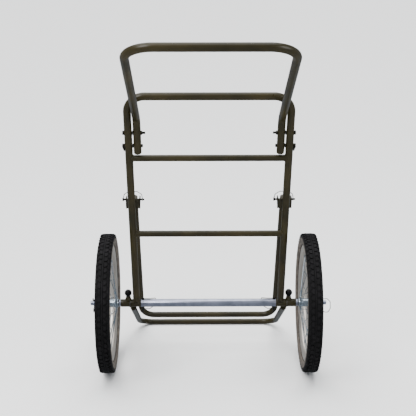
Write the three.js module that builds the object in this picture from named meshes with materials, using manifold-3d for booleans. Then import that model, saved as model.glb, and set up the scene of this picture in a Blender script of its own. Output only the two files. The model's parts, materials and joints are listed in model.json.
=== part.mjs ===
// Two-wheeled tubular cart: a leaning frame of bent steel tube on two spoked wheels, with an operator's
// handle, a nose frame that rests on the floor, and a swing-out support frame hung on two lock pins.
// Millimetres: +X is the operator's right, +Y points away from the operator, +Z is up, z = 0 is the floor.
import * as THREE from 'three';
import { mergeVertices } from 'three/addons/utils/BufferGeometryUtils.js';
import Module from 'manifold-3d';

const wasm = await Module();
wasm.setup();

// ---------- driving dimensions ----------
const GAP = 0.3; // between pieces that touch
const BORE_GAP = 0.3; // radial play of pins and bolts in their holes
const PAST = 1; // a cutting tool runs this far past the face that it cuts
const LAP = 0.5; // joined solids run this far into each other
const DRILL = 45; // half the length of a tool that drills one tube or bracket

// how fine the round shapes are
const TUBE_SIDES = 12;
const ROUND_SIDES = 16;
const PIN_SIDES = 10;
const KNOB_SIDES = 14;
const EYE_SIDES = 8;
const WHEEL_SIDES = 32;
const BEND_STEPS = 4;
const LEG_SHARE = 0.45; // most of a straight run that one bend may use

// tubes
const TUBE_R = 12.7; // 1 inch tube: rails, top loop, handle
const SLIM_R = 10.75; // slimmer tube: crossbars, nose frame, support frame
const WALL = 1.65; // of every frame tube

// wheels
const WHEEL_RADIUS = 254;
const WHEEL_X = 366.5; // centre plane of each tyre
const AXLE_Z = WHEEL_RADIUS;
const SPOKES = 12;
const SPOKE_R = 1.3;
const SPOKE_SIDES = 3;
const SPOKE_TIP_R = 190.2;
const SPOKE_TIP_X = 2.5; // out of the centre plane, towards the spoke's own flange
const SPOKE_HEAD_R = 25.5;
const SPOKE_HEAD_X = 29.5;
const SPOKE_LEAD = THREE.MathUtils.degToRad(62); // round the hub, from a spoke's place in the rim

// main frame; heights on it are measured up the rail from the axle
const LEAN = THREE.MathUtils.degToRad(71.4); // rails above the floor, leaning to the operator
const RAIL_X = 262.5;
const RAIL_TOP = 743.6; // seam with the top loop
const CROSSBAR_UPPER = 630.5;
const CROSSBAR_LOWER = 318;
const LOOP_TOP = 862;
const LOOP_BEND_R = 75;
const SPIGOT_R = 10.7;
const SPIGOT_LENGTH = 32;
const SPIGOT_ROOT = 8; // held this deep inside the loop
const SPIGOT_SEAT_R = 11.7;

// handle
const HANDLE_X = 233.4;
const HANDLE_FOOT = 649.6;
const HANDLE_BEND = 779;
const HANDLE_BAR_Y = -767;
const HANDLE_BAR_Z = 1295;
const HANDLE_BEND_R = 80;

// handle bolts
const BOLT_UPPER = 728;
const BOLT_UPPER_R = 4;
const BOLT_UPPER_TIP_X = 206.5;
const BOLT_HEAD = 5.5;
const NUT_UPPER = 7;
const FLATS_UPPER = 13; // across the flats
const BOLT_LOWER = 679;
const BOLT_LOWER_R = 3;
const NUT_LOWER = 5;
const FLATS_LOWER = 10;
const TAB_WIDTH = 9;
const SPACER_R = 7;

// nose frame
const NOSE_X = 276.25;
const NOSE_BAR_Y = 384;
const NOSE_START_Y = 6;
const NOSE_DROP = 15.8; // line of the side tubes passes this far under the axle centre
const NOSE_BEND_R = 60;

// support frame, its brackets and lock pins
const SUPPORT_X = 254.4;
const SUPPORT_LENGTH = 606; // lock pin to the middle of the cross tube
const SUPPORT_ANGLE = THREE.MathUtils.degToRad(63.8);
const SUPPORT_BEND_R = 48;
const SUPPORT_TOP = 12; // tube above the pin
const BRACKET_X = 259;
const BRACKET_WIDTH = 49;
const BRACKET_PLATE = 3;
const BRACKET_TOP = 19;
const BRACKET_FOOT = -21;
const CHEEK_R = 13; // round the pin
const CHEEK_STEP = 4; // straight stretch before the cheek narrows, and before its round end
const PIN_UP = 438; // lock pin, measured up the rail
const PIN_BACK = 37; // and behind it

// axle, from the middle outwards
const STUB_IN = 200;
const AXLE_PIN_X = 240.3;
const SEAT_IN = 240; // room for the sleeves and collars is cut from here
const SLEEVE_IN = 246.8;
const SLEEVE_OUT = 286;
const COLLAR_IN = 286.8;
const KNOB_X = 293;
const COLLAR_OUT = 320;
const SEAT_OUT = 326; // to here
const HUB_PIN_X = 417;
const AXLE_END = 431;
const SLEEVE_R = 14.3;
const SLEEVE_BORE_R = 11.3;
const STUB_R = 11;
const SPINDLE_R = 7.95;
const WASHER_R = 13;
const WASHERS = { inner: [321.5, 326.2], outer: [407.9, 410.2] };

// spring plunger; heights are over the axle's centre line
const PLUNGER_R = 3.5;
const PLUNGER_TOP = 36;
const DETENT_FLOOR = 6.4;
const BOSS_TOP = 27;
const CAVITY_FLOOR = 12.5;
const CAVITY_TOP = 25.4;
const CAVITY_R = 5.8;
const SPRING_R = 4.6;
const SPRING_WIRE_R = 0.45;
const SPRING_FOOT = 16.8;
const SPRING_TOP = 24.6;
const SPRING_TURNS = 3.5;
const SPRING_STEPS = 28;
const SPRING_SIDES = 4;
const KNOB_R = 13;
const KNOB_CENTRE = 39.6;
const KNOB_FOOT = BOSS_TOP + 0.5;
const KNOB_STEPS = 6;

// lock pins; head and tip are distances along the pin from its middle, the head end positive
const SUPPORT_PIN = { head: 37.4, headFoot: 31.6, eye: 34.5, tip: -38, radius: 3.2, headRadius: 5.4 };
const AXLE_PIN = { head: 19.8, headFoot: 14.8, eye: 17.2, tip: -38, radius: 3.1, headRadius: 5 };
const HUB_PIN = { head: 12.9, headFoot: 8.3, eye: 10.6, tip: -26.5, radius: 2.8, headRadius: 4.4 };
const PIN_BEVEL = 2;
const PIN_BEVEL_DEPTH = 1.2;
const EYE_REACH = 10;
const WIRE_R = 1.25;
const WIRE_HOLE_R = 1.6;
const WIRE_SIDES = 5;
const WIRE_BEND_STEPS = 2;
const EYE_BEND = 2; // tight bend where the wire leaves its eye

// the part's origin is under the middle of its length
const ORIGIN_Y = (HANDLE_BAR_Y - TUBE_R + NOSE_BAR_Y + SLIM_R) / 2;

// ---------- materials ----------
function paint(color, roughness, metalness) {
  return new THREE.MeshStandardMaterial({ color, roughness, metalness });
}
const oliveCoat = paint('#47402e', 0.5, 0.1);
const zinc = paint('#b4b8c6', 0.35, 0.9);
const blackOxide = paint('#141213', 0.45, 0.7);
const springWire = paint('#2a2a2c', 0.35, 0.9);
const rubber = paint('#1b191a', 0.85, 0);
const chrome = paint('#b9bfc4', 0.25, 1);
const nylon = paint('#2b2b2b', 0.6, 0);
const phenolic = paint('#0b0b0c', 0.3, 0);

// ---------- solids ----------
function solid(geometry) {
  const bare = geometry.index ? geometry.toNonIndexed() : geometry.clone();
  bare.deleteAttribute('normal');
  bare.deleteAttribute('uv');
  const merged = mergeVertices(bare, 1e-3);
  return new wasm.Manifold(new wasm.Mesh({
    numProp: 3,
    vertProperties: merged.attributes.position.array,
    triVerts: new Uint32Array(merged.index.array),
  }));
}

function surface(body) {
  const mesh = body.getMesh();
  const geometry = new THREE.BufferGeometry();
  geometry.setAttribute('position', new THREE.BufferAttribute(new Float32Array(mesh.vertProperties), 3));
  geometry.setIndex(new THREE.BufferAttribute(new Uint32Array(mesh.triVerts), 1));
  return geometry;
}

function cut(body, ...tools) {
  return tools.reduce((left, tool) => left.subtract(tool), body);
}

function join(...bodies) {
  return bodies.reduce((left, right) => left.add(right));
}

// round bar from one point to another
function rod(from, to, radius, sides = TUBE_SIDES, endRadius = radius) {
  const axis = new THREE.Vector3().subVectors(to, from);
  const geometry = new THREE.CylinderGeometry(endRadius, radius, axis.length(), sides);
  geometry.rotateY(Math.PI / sides);
  geometry.applyQuaternion(
    new THREE.Quaternion().setFromUnitVectors(new THREE.Vector3(0, 1, 0), axis.clone().normalize()));
  geometry.translate(...new THREE.Vector3().addVectors(from, to).multiplyScalar(0.5).toArray());
  return solid(geometry);
}

function at(x, y, z) {
  return new THREE.Vector3(x, y, z);
}

// round bar along X, at the axle's height or a little over it
function barX(x0, x1, radius, sides = ROUND_SIDES, height = 0) {
  return rod(at(x0, 0, AXLE_Z + height), at(x1, 0, AXLE_Z + height), radius, sides);
}

// upright round bar through the axle, between two heights over it
function upright(x, z0, z1, radius) {
  return rod(at(x, 0, AXLE_Z + z0), at(x, 0, AXLE_Z + z1), radius, PIN_SIDES);
}

const RAIL_UP = at(0, -Math.cos(LEAN), Math.sin(LEAN));
const RAIL_BACK = at(0, Math.sin(LEAN), Math.cos(LEAN));

// point beside the rail: t up the rail from the axle, back = behind the rail, away from the operator
function onRail(x, t, back = 0) {
  return at(x, 0, AXLE_Z).addScaledVector(RAIL_UP, t).addScaledVector(RAIL_BACK, back);
}

// round or six-sided bar along X through the rail at t, or behind it
function across(x0, x1, t, radius, sides = PIN_SIDES, back = 0) {
  return rod(onRail(x0, t, back), onRail(x1, t, back), radius, sides);
}

// a path through fixed stations, so that straight runs need no steps of their own
class StationPath extends THREE.Curve {
  constructor(stations) {
    super();
    this.stations = stations;
  }
  index(u) {
    return Math.round(u * (this.stations.length - 1));
  }
  getPointAt(u, target = new THREE.Vector3()) {
    return target.copy(this.stations[this.index(u)]);
  }
  getTangentAt(u, target = new THREE.Vector3()) {
    const i = this.index(u);
    const here = this.stations[i];
    const back = this.stations[Math.max(i - 1, 0)];
    const ahead = this.stations[Math.min(i + 1, this.stations.length - 1)];
    const before = i > 0 ? here.clone().sub(back).normalize() : new THREE.Vector3();
    const after = ahead !== here ? ahead.clone().sub(here).normalize() : new THREE.Vector3();
    return target.copy(before.add(after).normalize());
  }
}

// corners with their bend radii become straight runs and arcs
function bentStations(corners, radius, steps = BEND_STEPS, firstRadius = radius) {
  const stations = [corners[0]];
  for (let i = 1; i < corners.length - 1; i += 1) {
    const before = corners[i - 1].clone().sub(corners[i]).normalize();
    const after = corners[i + 1].clone().sub(corners[i]).normalize();
    const half = before.angleTo(after) / 2;
    const shortest = Math.min(corners[i - 1].distanceTo(corners[i]), corners[i + 1].distanceTo(corners[i]));
    const bend = Math.min(i === 1 ? firstRadius : radius, LEG_SHARE * shortest * Math.tan(half));
    const inwards = before.clone().add(after).normalize();
    const centre = inwards.multiplyScalar(bend / Math.sin(half)).add(corners[i]);
    const start = before.clone().multiplyScalar(bend / Math.tan(half)).add(corners[i]).sub(centre);
    const axis = new THREE.Vector3().crossVectors(after, before).normalize();
    const turn = Math.PI - 2 * half;
    for (let k = 0; k <= steps; k += 1) {
      stations.push(start.clone().applyAxisAngle(axis, (turn * k) / steps).add(centre));
    }
  }
  stations.push(corners[corners.length - 1]);
  return stations;
}

function circle(outline, radius, sides) {
  for (let k = 0; k < sides; k += 1) {
    const angle = (2 * Math.PI * (k + 0.5)) / sides;
    const x = radius * Math.cos(angle);
    const y = radius * Math.sin(angle);
    if (k === 0) outline.moveTo(x, y);
    else outline.lineTo(x, y);
  }
  outline.closePath();
  return outline;
}

// a bar swept along its stations, or a tube if it has a bore
function sweep(stations, radius, sides = TUBE_SIDES, bore = 0) {
  const section = circle(new THREE.Shape(), radius, sides);
  if (bore) section.holes.push(circle(new THREE.Path(), bore, sides));
  return solid(new THREE.ExtrudeGeometry(section, {
    steps: stations.length - 1,
    extrudePath: new StationPath(stations),
    bevelEnabled: false,
  }));
}

function bentTube(corners, bendRadius, radius) {
  return sweep(bentStations(corners, bendRadius), radius, TUBE_SIDES, radius - WALL);
}

// lathe of [distance along the axis, radius] pairs, closed on itself or on the axis, in either direction
function lathe(profile, steps) {
  const points = profile.map(([along, r]) => new THREE.Vector2(r, along));
  if (THREE.ShapeUtils.area(points) < 0) points.reverse();
  return new THREE.LatheGeometry(points, steps);
}

// piece turned about the axle's centre line
function turnedX(profile, x, steps) {
  const geometry = lathe(profile, steps);
  geometry.rotateZ(-Math.PI / 2);
  geometry.translate(x, 0, AXLE_Z);
  return solid(geometry);
}

// piece turned about an upright line through the axle
function turnedZ(profile, x, steps) {
  const geometry = lathe(profile, steps);
  geometry.rotateX(Math.PI / 2);
  geometry.translate(x, 0, AXLE_Z);
  return solid(geometry);
}

// profile given outwards from the middle of the cart, turned round for the left side
function outwards(s, profile) {
  return profile.map(([along, r]) => [s * along, r]);
}

// closed profile of a ring that is the same on both sides of its middle plane
function evenRing(half) {
  const other = half.filter(([along]) => along !== 0).map(([along, r]) => [-along, r]).reverse();
  return [...half, ...other, half[0]];
}

function prism(shape, depth) {
  return new THREE.ExtrudeGeometry(shape, { depth, bevelEnabled: false, curveSegments: 6 });
}

function polygon(points) {
  return new THREE.Shape(points.map(([x, y]) => new THREE.Vector2(x, y)));
}

const cart = new THREE.Group();
cart.position.y = -ORIGIN_Y;

function addPiece(name, body, material) {
  const mesh = new THREE.Mesh(surface(body), material);
  mesh.name = name;
  cart.add(mesh);
}

const sides = [
  { name: 'left', s: -1 },
  { name: 'right', s: 1 },
];

// ---------- tools that cut the seats of neighbouring pieces ----------
const sleeveSeat = join(...sides.map(({ s }) => barX(s * SEAT_IN, s * SEAT_OUT, SLEEVE_R + GAP)));

function boltHoles(x) {
  return [
    across(x - DRILL, x + DRILL, BOLT_UPPER, BOLT_UPPER_R + BORE_GAP),
    across(x - DRILL, x + DRILL, BOLT_LOWER, BOLT_LOWER_R + BORE_GAP),
  ];
}

// ---------- main frame ----------
function addRail({ name, s }) {
  const x = s * RAIL_X;
  const tube = rod(onRail(x, 0), onRail(x, RAIL_TOP - GAP), TUBE_R);
  const bore = rod(onRail(x, -PAST), onRail(x, RAIL_TOP + PAST), TUBE_R - WALL);
  addPiece(`rail_${name}`, cut(tube, bore, sleeveSeat, ...boltHoles(x)), oliveCoat);
}

// crossbar: each end is coped to sit against its rail
function addCrossbar(name, t) {
  const bar = across(-RAIL_X, RAIL_X, t, SLIM_R, TUBE_SIDES);
  const bore = across(-RAIL_X - PAST, RAIL_X + PAST, t, SLIM_R - WALL, TUBE_SIDES);
  const copes = sides.map(({ s }) => rod(
    onRail(s * RAIL_X, t - DRILL), onRail(s * RAIL_X, t + DRILL), TUBE_R + GAP, ROUND_SIDES));
  addPiece(name, cut(bar, bore, ...copes), oliveCoat);
}

// top loop: hollow spigots, fixed inside its ends, plug into the rails
function addTopLoop() {
  const tube = bentTube([
    onRail(-RAIL_X, RAIL_TOP), onRail(-RAIL_X, LOOP_TOP), onRail(RAIL_X, LOOP_TOP), onRail(RAIL_X, RAIL_TOP),
  ], LOOP_BEND_R, TUBE_R);
  const foot = RAIL_TOP - SPIGOT_LENGTH;
  const root = RAIL_TOP + SPIGOT_ROOT;
  const spigots = sides.flatMap(({ s }) => [
    rod(onRail(s * RAIL_X, foot), onRail(s * RAIL_X, root), SPIGOT_R),
    rod(onRail(s * RAIL_X, RAIL_TOP + PAST), onRail(s * RAIL_X, root), SPIGOT_SEAT_R),
  ]);
  const bores = sides.map(({ s }) => rod(
    onRail(s * RAIL_X, foot - PAST), onRail(s * RAIL_X, root + PAST), SPIGOT_R - WALL));
  const holes = sides.flatMap(({ s }) => boltHoles(s * RAIL_X));
  addPiece('top_loop', cut(join(tube, ...spigots), ...bores, ...holes), oliveCoat);
}

function addHandle() {
  const tube = bentTube([
    onRail(-HANDLE_X, HANDLE_FOOT),
    onRail(-HANDLE_X, HANDLE_BEND),
    at(-HANDLE_X, HANDLE_BAR_Y, HANDLE_BAR_Z),
    at(HANDLE_X, HANDLE_BAR_Y, HANDLE_BAR_Z),
    onRail(HANDLE_X, HANDLE_BEND),
    onRail(HANDLE_X, HANDLE_FOOT),
  ], HANDLE_BEND_R, TUBE_R);
  addPiece('handle', cut(tube, ...sides.flatMap(({ s }) => boltHoles(s * HANDLE_X))), oliveCoat);
}

function addNoseFrame() {
  const slope = (AXLE_Z - NOSE_DROP - SLIM_R) / NOSE_BAR_Y;
  const startZ = AXLE_Z - NOSE_DROP - slope * NOSE_START_Y;
  const tube = bentTube([
    at(-NOSE_X, NOSE_START_Y, startZ), at(-NOSE_X, NOSE_BAR_Y, SLIM_R),
    at(NOSE_X, NOSE_BAR_Y, SLIM_R), at(NOSE_X, NOSE_START_Y, startZ),
  ], NOSE_BEND_R, SLIM_R);
  addPiece('nose_frame', cut(tube, sleeveSeat), oliveCoat);
}

// ---------- handle fasteners ----------
const RAIL_FACE = RAIL_X + TUBE_R + GAP; // bolt heads sit here
const LEG_FACE = HANDLE_X - TUBE_R - GAP; // nuts sit here

function hexagon(x0, x1, t, acrossFlats) {
  return across(x0, x1, t, acrossFlats / Math.sqrt(3), 6);
}

// the upper bolts are the handle's pivots
function addUpperBolt({ name, s }) {
  const shank = across(s * (RAIL_FACE + PAST), s * BOLT_UPPER_TIP_X, BOLT_UPPER, BOLT_UPPER_R);
  const head = hexagon(s * RAIL_FACE, s * (RAIL_FACE + BOLT_HEAD), BOLT_UPPER, FLATS_UPPER);
  addPiece(`bolt_upper_${name}`, join(shank, head), blackOxide);

  const nut = hexagon(s * (LEG_FACE - NUT_UPPER), s * LEG_FACE, BOLT_UPPER, FLATS_UPPER);
  const hole = across(s * LEG_FACE - DRILL, s * LEG_FACE + DRILL, BOLT_UPPER, BOLT_UPPER_R + BORE_GAP);
  addPiece(`nut_upper_${name}`, cut(nut, hole), blackOxide);
}

// the lower bolt locks the handle; it is drawn back out of the leg, and its nut stays with the leg
function addLowerBolt({ name, s }) {
  const legSide = HANDLE_X + TUBE_R;
  const shank = across(s * (RAIL_FACE + PAST), s * (legSide + GAP), BOLT_LOWER, BOLT_LOWER_R);
  // lever tab seen from the side: outwards from the rail, and up along it
  const tab = prism(polygon([[0, -19], [2.2, -20], [8, -4], [8, 4], [6.5, 6], [0, 6]]), TAB_WIDTH);
  tab.translate(0, 0, -TAB_WIDTH / 2);
  const out = at(s, 0, 0);
  const wide = new THREE.Vector3().crossVectors(out, RAIL_UP);
  tab.applyMatrix4(new THREE.Matrix4().makeBasis(out, RAIL_UP, wide));
  tab.translate(...onRail(s * RAIL_FACE, BOLT_LOWER).toArray());
  addPiece(`bolt_lower_${name}`, join(shank, solid(tab)), blackOxide);

  const stub = across(s * (LEG_FACE - PAST), s * (legSide - GAP), BOLT_LOWER, BOLT_LOWER_R);
  const nut = hexagon(s * (LEG_FACE - NUT_LOWER), s * LEG_FACE, BOLT_LOWER, FLATS_LOWER);
  addPiece(`nut_lower_${name}`, join(nut, stub), blackOxide);
}

function addSpacers({ name, s }) {
  const inner = HANDLE_X + TUBE_R + GAP;
  const outer = RAIL_X - TUBE_R - GAP;
  const bolts = [['upper', BOLT_UPPER, BOLT_UPPER_R], ['lower', BOLT_LOWER, BOLT_LOWER_R]];
  for (const [label, t, radius] of bolts) {
    const body = across(s * inner, s * outer, t, SPACER_R, TUBE_SIDES);
    const hole = across(s * (inner - PAST), s * (outer + PAST), t, radius + BORE_GAP);
    addPiece(`spacer_${label}_${name}`, cut(body, hole), nylon);
  }
}

// ---------- axle ----------
function axlePinHole(s) {
  return upright(s * AXLE_PIN_X, -DRILL, DRILL, AXLE_PIN.radius + BORE_GAP);
}

function axleBore(s) {
  return barX(s * SEAT_IN, s * SEAT_OUT, SLEEVE_BORE_R);
}

function addAxleTube() {
  const half = SLEEVE_IN - 2 * GAP;
  const tube = barX(-half, half, SLEEVE_R);
  const bore = barX(-half - PAST, half + PAST, SLEEVE_BORE_R);
  addPiece('axle_tube', cut(tube, bore, ...sides.map(({ s }) => axlePinHole(s))), zinc);
}

function addSleeve({ name, s }) {
  addPiece(`sleeve_${name}`, cut(barX(s * SLEEVE_IN, s * SLEEVE_OUT, SLEEVE_R), axleBore(s)), oliveCoat);
}

// locking collar: a short tube with a cone-shaped boss that holds the plunger and its spring
function addLockCollar({ name, s }) {
  const tube = barX(s * COLLAR_IN, s * COLLAR_OUT, SLEEVE_R);
  const boss = turnedZ([[9, 0], [9, 12.4], [14, 12.2], [19, 9.6], [BOSS_TOP, 8.6], [BOSS_TOP, 0]],
    s * KNOB_X, ROUND_SIDES);
  const cavity = turnedZ([
    [CAVITY_FLOOR, 0], [CAVITY_FLOOR, CAVITY_R], [CAVITY_TOP, CAVITY_R], [CAVITY_TOP, 0],
  ], s * KNOB_X, ROUND_SIDES);
  const throat = upright(s * KNOB_X, 0, DRILL, PLUNGER_R + BORE_GAP);
  // the boss is cut off flush with the collar's inner end
  const flush = barX(s * (COLLAR_IN - DRILL), s * COLLAR_IN, DRILL);
  addPiece(`lock_collar_${name}`, cut(join(tube, boss), axleBore(s), cavity, throat, flush), oliveCoat);
}

// stub axle: thick inside the frame, turned down to the wheel spindle
function addStubAxle({ name, s }) {
  const shoulder = COLLAR_OUT + 1;
  const chamfer = 1;
  const stub = turnedX(outwards(s, [
    [STUB_IN, 0], [STUB_IN, STUB_R], [shoulder, STUB_R], [shoulder, SPINDLE_R],
    [AXLE_END - chamfer, SPINDLE_R], [AXLE_END, SPINDLE_R - chamfer], [AXLE_END, 0],
  ]), 0, ROUND_SIDES);
  const detent = upright(s * KNOB_X, DETENT_FLOOR, DRILL, PLUNGER_R + BORE_GAP);
  const hubPinHole = upright(s * HUB_PIN_X, -DRILL, DRILL, HUB_PIN.radius + BORE_GAP);
  addPiece(`stub_axle_${name}`, cut(stub, detent, axlePinHole(s), hubPinHole), zinc);
}

// spring plunger: a bevelled foot, and a flange that the spring pushes down
function addPlunger({ name, s }) {
  addPiece(`plunger_${name}`, turnedZ([
    [6.8, 0], [6.8, 2.6], [7.8, PLUNGER_R], [14.9, PLUNGER_R], [14.9, 5.2], [16.1, 5.2], [16.1, PLUNGER_R],
    [PLUNGER_TOP, PLUNGER_R], [PLUNGER_TOP, 0],
  ], s * KNOB_X, KNOB_SIDES), zinc);
}

// ball knob with a flat foot
function addKnob({ name, s }) {
  const start = -Math.asin((KNOB_CENTRE - KNOB_FOOT) / KNOB_R);
  const ball = [[KNOB_FOOT, 0]];
  for (let k = 0; k < KNOB_STEPS; k += 1) {
    const angle = THREE.MathUtils.lerp(start, Math.PI / 2, k / KNOB_STEPS);
    ball.push([KNOB_CENTRE + KNOB_R * Math.sin(angle), KNOB_R * Math.cos(angle)]);
  }
  ball.push([KNOB_CENTRE + KNOB_R, 0]);
  const bore = upright(s * KNOB_X, KNOB_FOOT - PAST, PLUNGER_TOP + GAP, PLUNGER_R + BORE_GAP);
  addPiece(`knob_${name}`, cut(turnedZ(ball, s * KNOB_X, KNOB_SIDES), bore), phenolic);
}

// plunger spring, wound round the shank inside the boss
function addPlungerSpring({ name, s }) {
  const coil = [];
  for (let k = 0; k <= SPRING_STEPS; k += 1) {
    const angle = (2 * Math.PI * SPRING_TURNS * k) / SPRING_STEPS;
    const height = THREE.MathUtils.lerp(SPRING_FOOT, SPRING_TOP, k / SPRING_STEPS);
    coil.push(at(s * KNOB_X + SPRING_R * Math.cos(angle), SPRING_R * Math.sin(angle), AXLE_Z + height));
  }
  addPiece(`plunger_spring_${name}`, sweep(coil, SPRING_WIRE_R, SPRING_SIDES), springWire);
}

// thrust washers each side of the hub
function addWashers({ name, s }) {
  for (const [label, [x0, x1]] of Object.entries(WASHERS)) {
    const hole = barX(s * (x0 - PAST), s * (x1 + PAST), SPINDLE_R + BORE_GAP);
    addPiece(`washer_${label}_${name}`, cut(barX(s * x0, s * x1, WASHER_R), hole), zinc);
  }
}

// ---------- support frame and its brackets ----------
function alongSupport(x, distance) {
  const pin = onRail(x, PIN_UP, PIN_BACK);
  return pin.add(at(0, Math.cos(SUPPORT_ANGLE) * distance, -Math.sin(SUPPORT_ANGLE) * distance));
}

function supportPinHole(x) {
  return across(x - DRILL, x + DRILL, PIN_UP, SUPPORT_PIN.radius + BORE_GAP, TUBE_SIDES, PIN_BACK);
}

function addSupportFrame() {
  const tube = bentTube([
    alongSupport(-SUPPORT_X, -SUPPORT_TOP), alongSupport(-SUPPORT_X, SUPPORT_LENGTH),
    alongSupport(SUPPORT_X, SUPPORT_LENGTH), alongSupport(SUPPORT_X, -SUPPORT_TOP),
  ], SUPPORT_BEND_R, SLIM_R);
  addPiece('support_frame', cut(tube, ...sides.map(({ s }) => supportPinHole(s * SUPPORT_X))), oliveCoat);
}

function addBracket({ name, s }) {
  // U channel seen along the rail, pressed from plate: web against the rail, two cheeks behind it
  const front = TUBE_R + GAP;
  const back = PIN_BACK + CHEEK_R;
  const half = BRACKET_WIDTH / 2;
  const channel = prism(polygon([
    [-half, front], [half, front], [half, back], [half - BRACKET_PLATE, back],
    [half - BRACKET_PLATE, front + BRACKET_PLATE], [-half + BRACKET_PLATE, front + BRACKET_PLATE],
    [-half + BRACKET_PLATE, back], [-half, back],
  ]), BRACKET_TOP - BRACKET_FOOT);
  channel.translate(0, 0, BRACKET_FOOT);
  // cheek outline: square at the web, round about the pin
  const cheek = new THREE.Shape();
  cheek.moveTo(front - PAST, BRACKET_FOOT - PAST);
  cheek.lineTo(front + CHEEK_STEP, BRACKET_FOOT - PAST);
  cheek.lineTo(PIN_BACK - CHEEK_STEP, -CHEEK_R);
  cheek.absarc(PIN_BACK, 0, CHEEK_R, -Math.PI / 2, Math.PI / 2, false);
  cheek.lineTo(PIN_BACK - CHEEK_STEP, CHEEK_R);
  cheek.lineTo(front + CHEEK_STEP, BRACKET_TOP + PAST);
  cheek.lineTo(front - PAST, BRACKET_TOP + PAST);
  cheek.closePath();
  const outline = prism(cheek, BRACKET_WIDTH + 2 * PAST);
  outline.translate(0, 0, -half - PAST);
  const xAxis = at(1, 0, 0);
  channel.applyMatrix4(new THREE.Matrix4().makeBasis(xAxis, RAIL_BACK, RAIL_UP));
  outline.applyMatrix4(new THREE.Matrix4().makeBasis(RAIL_BACK, RAIL_UP, xAxis));
  const place = onRail(s * BRACKET_X, PIN_UP).toArray();
  channel.translate(...place);
  outline.translate(...place);
  const body = solid(channel).intersect(solid(outline));
  addPiece(`bracket_${name}`, cut(body, supportPinHole(s * BRACKET_X)), oliveCoat);
}

// ---------- wire lock pins ----------
// pin with a bevelled tip and a cross-drilled head; along(d) is the point at d towards the head
function lockPin(along, eye, { head, headFoot, tip, radius, headRadius }) {
  const bevelStart = tip + PIN_BEVEL;
  const shank = rod(along(bevelStart), along(headFoot + LAP), radius, PIN_SIDES);
  const bevel = rod(along(bevelStart + LAP), along(tip), radius, PIN_SIDES, radius - PIN_BEVEL_DEPTH);
  return cut(join(shank, bevel, rod(along(headFoot), along(head), headRadius, PIN_SIDES)), eye);
}

function springClip(name, corners, bend) {
  const stations = bentStations(corners, bend, WIRE_BEND_STEPS, EYE_BEND);
  addPiece(name, sweep(stations, WIRE_R, WIRE_SIDES), springWire);
}

// support pins lie along X with their heads towards -X; the wire springs over the tube to the tip
function addSupportPin({ name, s }) {
  const spot = (dx, up, back) => onRail(s * BRACKET_X + dx, PIN_UP + up, PIN_BACK + back);
  const eyeX = -SUPPORT_PIN.eye;
  const eye = rod(spot(eyeX, 0, -EYE_REACH), spot(eyeX, 0, EYE_REACH), WIRE_HOLE_R, EYE_SIDES);
  addPiece(`support_pin_${name}`, lockPin((d) => spot(-d, 0, 0), eye, SUPPORT_PIN), blackOxide);
  springClip(`support_bail_${name}`, [
    spot(eyeX, 0, -8), spot(eyeX, 0, 8), spot(-31, 16, 7.4), spot(-16, 28, 7), spot(14, 28, 7),
    spot(29, 16, 7), spot(31, 0, 5.6), spot(31, -9, 5),
  ], 9);
}

// axle pins stand upright through the axle tube; the wire wraps behind the tube to the shank below
function addAxlePin({ name, s }) {
  const x = s * AXLE_PIN_X;
  const eye = barX(x - EYE_REACH, x + EYE_REACH, WIRE_HOLE_R, EYE_SIDES, AXLE_PIN.eye);
  addPiece(`axle_pin_${name}`, lockPin((d) => at(x, 0, AXLE_Z + d), eye, AXLE_PIN), blackOxide);
  const inboard = (dx, y, z) => at(s * (AXLE_PIN_X - dx), y, AXLE_Z + z);
  springClip(`axle_bail_${name}`, [
    inboard(-7.2, 0, AXLE_PIN.eye), inboard(26, 0, 17.4), inboard(46, 14, 13.5), inboard(47, 21, -2),
    inboard(42, 18, -18), inboard(24, 6, -25.6), inboard(6, 5.4, -25.6), inboard(-8, 5.4, -25.6),
  ], 8);
}

// hub pins keep the wheels on the spindles; the right wire hangs outwards, the left one hangs behind
function addHubPin({ name, s }) {
  const x = s * HUB_PIN_X;
  const place = (out, side, z) => (s > 0
    ? at(x + out, side, AXLE_Z + z)
    : at(x - side, out, AXLE_Z + z));
  const eyeEnds = [-EYE_REACH, EYE_REACH].map((side) => place(0, side, HUB_PIN.eye));
  const eye = rod(...eyeEnds, WIRE_HOLE_R, EYE_SIDES);
  addPiece(`hub_pin_${name}`, lockPin((d) => place(0, 0, d), eye, HUB_PIN), blackOxide);
  springClip(`hub_bail_${name}`, [
    place(0, -6, HUB_PIN.eye), place(0, 6.6, HUB_PIN.eye), place(18, 6.6, 12), place(30, 6, 0),
    place(31, 5.5, -26), place(24, 5.2, -41), place(10, 5, -41), place(0, 4.8, -30), place(-3, 4.8, -20),
  ], 7);
}

// ---------- wheels ----------
function addTyre({ name, s }) {
  addPiece(`tyre_${name}`, turnedX(evenRing([
    [0, 254], [-17, 251], [-26, 238], [-25, 224], [-18.4, 213.4], [-14.9, 213.2], [-14.9, 206.2], [0, 206.2],
  ]), s * WHEEL_X, WHEEL_SIDES), rubber);
}

function addRim({ name, s }) {
  addPiece(`rim_${name}`, turnedX(evenRing([
    [-15.4, 205.6], [-15.4, 212.6], [-17.6, 212.6], [-17.6, 200], [-9, 192],
  ]), s * WHEEL_X, WHEEL_SIDES), chrome);
}

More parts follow.
